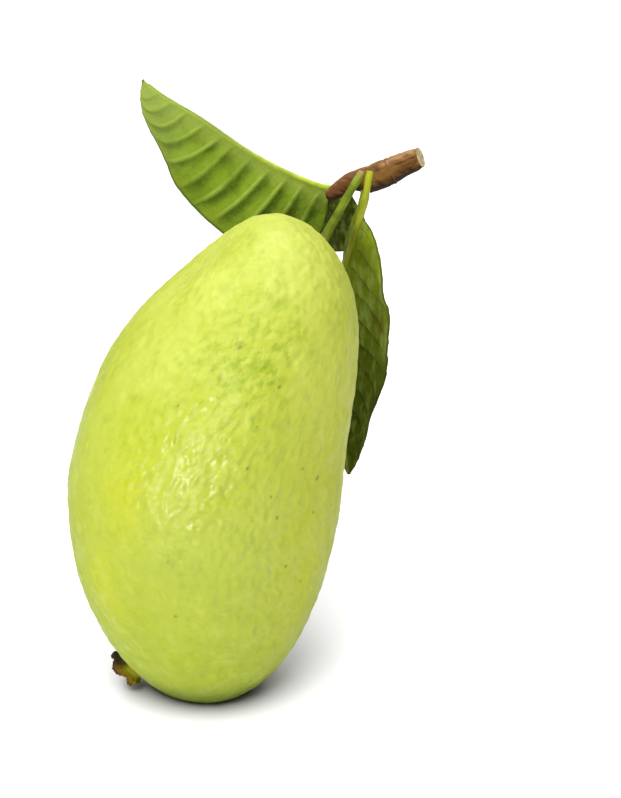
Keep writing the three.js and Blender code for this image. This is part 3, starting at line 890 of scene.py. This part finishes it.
def leaf_shell(name, node, leaf):
    line = Line(leaf["rib"])
    first = half_blade(leaf, line, leaf["near_half"], 1)
    second = half_blade(leaf, line, leaf["far_half"], -1)
    middle, off_rib, vein, furrow, out, bruise = [
        np.concatenate((b[:, :0:-1], a), 1) for a, b in zip(first, second)
    ]
    ahead = np.gradient(middle, axis=0)
    across = np.gradient(middle, axis=1)
    outward = unit(np.cross(ahead, across))
    rows, columns = middle.shape[:2]
    taper = np.linspace(1, 0.35, rows)[:, None]
    swell = RIB_SWELL * taper * np.exp(-((off_rib / RIB_REACH) ** 2))
    thin = np.maximum(0.55, 1 - 0.5 * smooth(off_rib, 0.006, 0.017))
    half_thick = BLADE_THICKNESS / 2 * thin
    crinkle = noisy(middle, 520, 6) * 0.00012 + noisy(middle, 1300, 8) * 0.00005
    lower = middle + outward * (half_thick + swell + crinkle)[..., None]
    upper = middle + outward * (-half_thick + crinkle)[..., None]
    places = np.vstack((lower.reshape(-1, 3), upper.reshape(-1, 3)))
    grid = np.arange(rows * columns).reshape(rows, columns)
    a, b, c, d = [g.ravel() for g in (grid[:-1, :-1], grid[:-1, 1:], grid[1:, 1:], grid[1:, :-1])]
    other = rows * columns
    faces = np.vstack((np.stack((a, d, c, b), 1), np.stack((a, b, c, d), 1) + other))
    rim = np.concatenate((grid[0, :-1], grid[:-1, -1], grid[-1, :0:-1], grid[:0:-1, 0]))
    after = np.roll(rim, -1)
    faces = np.vstack((faces, np.stack((rim, after, after + other, rim + other), 1)))
    piece = shell_object(name, places, faces, "leaf_blade", node)
    note_values(piece, "off_rib", np.tile(off_rib.ravel(), 2))
    for kept, values in (("vein", vein), ("furrow", furrow), ("out", out), ("bruise", bruise)):
        note_values(piece, kept, np.tile(values.ravel(), 2))
    note_values(piece, "upper_face", np.repeat((0.0, 1.0), other))
    span = np.tile(np.repeat(np.linspace(0, 1, rows), columns), 2)
    note_values(piece, "down", span)
    return piece


def leaf_finish(name, under, deep, vein, upper, upper_tip, rim, veil):
    """Underside, its dark patches, the painted shade in its furrows and its veins, the upper face's
    two ends and painted sheen, the rim and the veil.
    """
    finish = Finish(name, Roughness=0.75, Specular_IOR_Level=0.1)
    place = finish.node("ShaderNodeTexCoord").outputs["Object"]
    off_rib, near_vein = finish.value_of("off_rib")[0], finish.value_of("vein")[0]
    furrow, upper_face = finish.value_of("furrow")[0], finish.value_of("upper_face")[0]
    down, out = finish.value_of("down")[0], finish.value_of("out")[0]
    cloudy = finish.between(finish.cloud(place, 170, 5, 0.62), 0.38, 0.6)
    patchy = finish.between(finish.cloud(place, 95, 3, 0.5), 0.36, 0.58, 0.35, 1.0)
    # Painted shade: the blade is darker, in patches, in each furrow between the side veins; the cloudy
    # mottle is the leaf's own
    painted_shade_in_furrows = finish.maths("MULTIPLY", furrow, patchy)
    shaded = finish.maths("ADD", painted_shade_in_furrows, finish.maths("MULTIPLY", cloudy, 0.38), True)
    blade = finish.blend(shaded, under, deep)
    near_rib = finish.between(off_rib, 0.0052, 0.0012, 0.0, 0.6)
    blade = finish.blend(near_rib, blade, veil)
    net = finish.between(finish.cells(place, 800, "DISTANCE_TO_EDGE"), 0.09, 0.0)
    blade = finish.blend(finish.maths("MULTIPLY", net, 0.12), blade, vein)
    blade = finish.blend(finish.between(down, 0.55, 1.0, 0.0, 0.6), blade, paint(120, 136, 62))
    shown = finish.between(finish.cloud(place, 130, 2), 0.38, 0.6, 0.25, 0.85)
    blade = finish.blend(finish.maths("MULTIPLY", near_vein, shown), blade, vein)
    # The upper face darkens from the stalk towards the tip; on the hanging leaf this is painted shade
    top = finish.blend(finish.between(down, 0.1, 0.85), upper, upper_tip)
    top = finish.blend(finish.maths("MULTIPLY", near_vein, 0.35), top, under)
    top = finish.blend(finish.maths("MULTIPLY", cloudy, 0.4), top, upper_tip)
    # Painted reflection: pale streaks along the rib on the upper face, strongest towards the stalk
    sheen_streaks = finish.cloud(finish.stretched(place, (1, 1, 0.25)), 620, 3, 0.55)
    fading = finish.between(down, 0.35, 0.75, 0.65, 0.35)
    painted_sheen = finish.maths("MULTIPLY", finish.between(sheen_streaks, 0.46, 0.64), fading)
    top = finish.blend(painted_sheen, top, paint(138, 156, 72))
    spotty = finish.cloud(place, 600, 4, 0.65)
    bruised = finish.maths("MULTIPLY", finish.value_of("bruise")[0], spotty)
    top = finish.blend(finish.between(bruised, 0.2, 0.46, 0.0, 0.5), top, paint(98, 88, 24))
    blade = finish.blend(upper_face, blade, top)
    blade = finish.blend(finish.between(off_rib, 0.0008, 0.0003), blade, rim)
    blade = finish.blend(finish.between(out, 0.95, 0.99, 0.0, 0.8), blade, paint(58, 58, 8))
    blade = finish.blend(finish.between(down, 0.985, 0.998), blade, paint(84, 70, 24))
    finish.feed(finish.shader.inputs["Base Color"], blade)
    finish.relief(finish.cells(place, 800, "DISTANCE_TO_EDGE"), 0.0001, 0.5)
    finish.relief(finish.cloud(place, 1500, 4, 0.6), 0.00018, 0.6)
    finish.relief(finish.cloud(place, 260, 3, 0.55), 0.0007, 0.7)
    return finish


upper_leaf = leaf_shell("upper_leaf_blade", "upper_leaf", UPPER_LEAF)
upper_finish = leaf_finish(
    "pale_leaf_underside",
    paint(93, 112, 18),
    paint(54, 73, 0),
    paint(120, 138, 48),
    paint(72, 80, 4),
    paint(50, 62, 2),
    paint(120, 134, 44),
    paint(102, 116, 42),
)
upper_finish.put_on(upper_leaf)

hanging_leaf = leaf_shell("hanging_leaf_blade", "hanging_leaf", HANGING_LEAF)
# Painted shade: the hanging leaf's upper face runs from light green at the stalk to dark olive towards
# the tip
hanging_finish = leaf_finish(
    "shaded_leaf_underside",
    paint(104, 122, 30),
    paint(60, 78, 4),
    paint(126, 144, 58),
    paint(126, 140, 22),
    paint(66, 78, 2),
    paint(124, 126, 16),
    paint(110, 124, 44),
)
hanging_finish.put_on(hanging_leaf)

# The leaf stalks are short green pegs that run on into the midribs, round on the underside. They
# grew out of the node of the twig, on opposite sides of it.
RIB_SIDES, RIB_STEPS = 40, 300


def rib_bumps(share, turn, places):
    return noisy(places, 700, 12) * 0.00005


def rib_shell(name, node, leaf):
    line = Line(leaf["rib"])
    shares = np.linspace(0, 0.97, 15)
    rise = leaf["rib_lift"] * MILLIMETRE * (1 - shares)
    lifted = line.at(shares) + across_rib(leaf, line.heading(shares)) * rise[:, None]
    thinning = np.linspace(0, 1, 15) ** 0.45
    radii = leaf["rib_radius"] + (leaf["rib_tip"] - leaf["rib_radius"]) * thinning
    bar = Line(lifted / MILLIMETRE)
    rings, share, _ = bar_places(bar, radii, RIB_SIDES, RIB_STEPS, rib_bumps)
    places = np.vstack((bar.at(0.0)[None], rings.reshape(-1, 3), bar.at(1.0)[None]))
    faces = ring_faces(RIB_STEPS + 1, RIB_SIDES)
    piece = shell_object(name, places, faces, "leaf_blade", node)
    note_values(piece, "down", np.concatenate(((0,), share.ravel(), (1,))))
    return piece


def rib_finish(name, fresh, deep, tip):
    finish = Finish(name, Roughness=0.55, Specular_IOR_Level=0.2)
    place = finish.node("ShaderNodeTexCoord").outputs["Object"]
    colour = finish.blend(finish.between(finish.cloud(place, 300, 4), 0.35, 0.65), fresh, deep)
    down = finish.value_of("down")[0]
    colour = finish.blend(finish.between(down, 0.3, 0.7), colour, tip)
    finish.feed(finish.shader.inputs["Base Color"], colour)
    finish.relief(finish.cloud(place, 2400, 3), 0.0001, 0.5)
    return finish


upper_rib = rib_shell("upper_leaf_midrib", "upper_leaf", UPPER_LEAF)
pale_midrib = rib_finish(
    "pale_midrib", paint(146, 160, 40), paint(122, 138, 24), paint(104, 120, 48)
)
pale_midrib.put_on(upper_rib)
hanging_rib = rib_shell("hanging_leaf_midrib", "hanging_leaf", HANGING_LEAF)
green_midrib = rib_finish(
    "green_midrib", paint(138, 144, 24), paint(120, 122, 12), paint(126, 132, 18)
)
green_midrib.put_on(hanging_rib)

# The guava stands on a plain white table under a broad bright ceiling. A small soft light low in
# front on the left brings out the pebbles of the skin and leaves out the table, which has a light of
# its own.
TABLE_SIZE = 6.0
CEILING_STRENGTH = 4.1


def table_top():
    half = TABLE_SIZE / 2
    mesh = bpy.data.meshes.new("table_top")
    mesh.from_pydata(
        [(-half, -half, 0), (half, -half, 0), (half, half, 0), (-half, half, 0)], [], [(0, 1, 2, 3)]
    )
    table = bpy.data.objects.new("table_top", mesh)
    bpy.context.scene.collection.objects.link(table)
    table_finish = Finish("matt_white", Roughness=0.9)
    table_finish.shader.inputs["Base Color"].default_value = (0.5, 0.5, 0.5, 1)
    table_finish.put_on(table)
    return table


def soft_light(name, place, aim, width, height, power):
    lamp = bpy.data.lights.new(name, "AREA")
    lamp.shape = "ELLIPSE"
    lamp.size, lamp.size_y = width, height
    lamp.energy = power
    holder = bpy.data.objects.new(name, lamp)
    holder.location = place
    holder.rotation_euler = (Vector(aim) - Vector(place)).to_track_quat("-Z", "Y").to_euler()
    bpy.context.scene.collection.objects.link(holder)
    return holder


def shine_on(lamp, thing, state):
    """Lets a light reach only the thing, or everything but the thing."""
    reached = bpy.data.collections.new(lamp.name + "_reach")
    reached.objects.link(thing)
    reached.collection_objects[0].light_linking.link_state = state
    lamp.light_linking.receiver_collection = reached


table = table_top()
window_light = soft_light("window_light", (-0.33, -1.0, 0.17), (0, 0, 0.06), 0.24, 0.38, 9.8)
shine_on(window_light, table, "EXCLUDE")
table_light = soft_light("table_light", (-0.1, -0.62, 0.95), (0, 0, 0), 0.75, 0.75, 26.0)
shine_on(table_light, table, "INCLUDE")
soft_light("top_light", (-0.1, 0.0, 0.95), (0, 0, 0.06), 0.7, 0.7, 4.2)
soft_light("back_light", (0.0, 0.8, 0.6), (0, 0, 0.06), 0.6, 0.6, 0.7)
room = bpy.data.worlds.new("white_room")
bpy.context.scene.world = room
room.use_nodes = True
wall = room.node_tree
wall_way = wall.nodes.new("ShaderNodeSeparateXYZ")
wall.links.new(wall.nodes.new("ShaderNodeTexCoord").outputs["Generated"], wall_way.inputs[0])
ceiling = wall.nodes.new("ShaderNodeMapRange")
ceiling.interpolation_type = "SMOOTHSTEP"
ceiling.inputs["From Min"].default_value, ceiling.inputs["From Max"].default_value = 0.5, 1.0
ceiling.inputs["To Min"].default_value = 0.0
ceiling.inputs["To Max"].default_value = CEILING_STRENGTH
wall.links.new(wall_way.outputs["Z"], ceiling.inputs["Value"])
wall.nodes["Background"].inputs["Color"].default_value = (1, 1, 1, 1)
# Seen directly, the far walls are as white as the table
walls_seen = wall.nodes.new("ShaderNodeMath")
walls_seen.operation = "MAXIMUM"
wall.links.new(ceiling.outputs[0], walls_seen.inputs[0])
wall.links.new(wall.nodes.new("ShaderNodeLightPath").outputs["Is Camera Ray"], walls_seen.inputs[1])
wall.links.new(walls_seen.outputs[0], wall.nodes["Background"].inputs["Strength"])
bpy.context.scene.view_settings.view_transform = "Standard"

# The camera looks down on the guava from a little above, from the side that shows best.
CAMERA_AIM = Vector((0.02324, -0.0015, 0.0689))
CAMERA_DISTANCE, CAMERA_RISE = 0.475, math.radians(20)
camera_data = bpy.data.cameras.new("camera")
camera_data.sensor_fit = "VERTICAL"
camera_data.sensor_height = 36
camera_data.lens = 100
camera = bpy.data.objects.new("camera", camera_data)
camera_back = Vector((0, -math.cos(CAMERA_RISE), math.sin(CAMERA_RISE)))
camera.location = CAMERA_AIM + camera_back * CAMERA_DISTANCE
camera.rotation_euler = (-camera_back).to_track_quat("-Z", "Y").to_euler()
camera_data.clip_start = 0.01
bpy.context.scene.collection.objects.link(camera)
bpy.context.scene.camera = camera
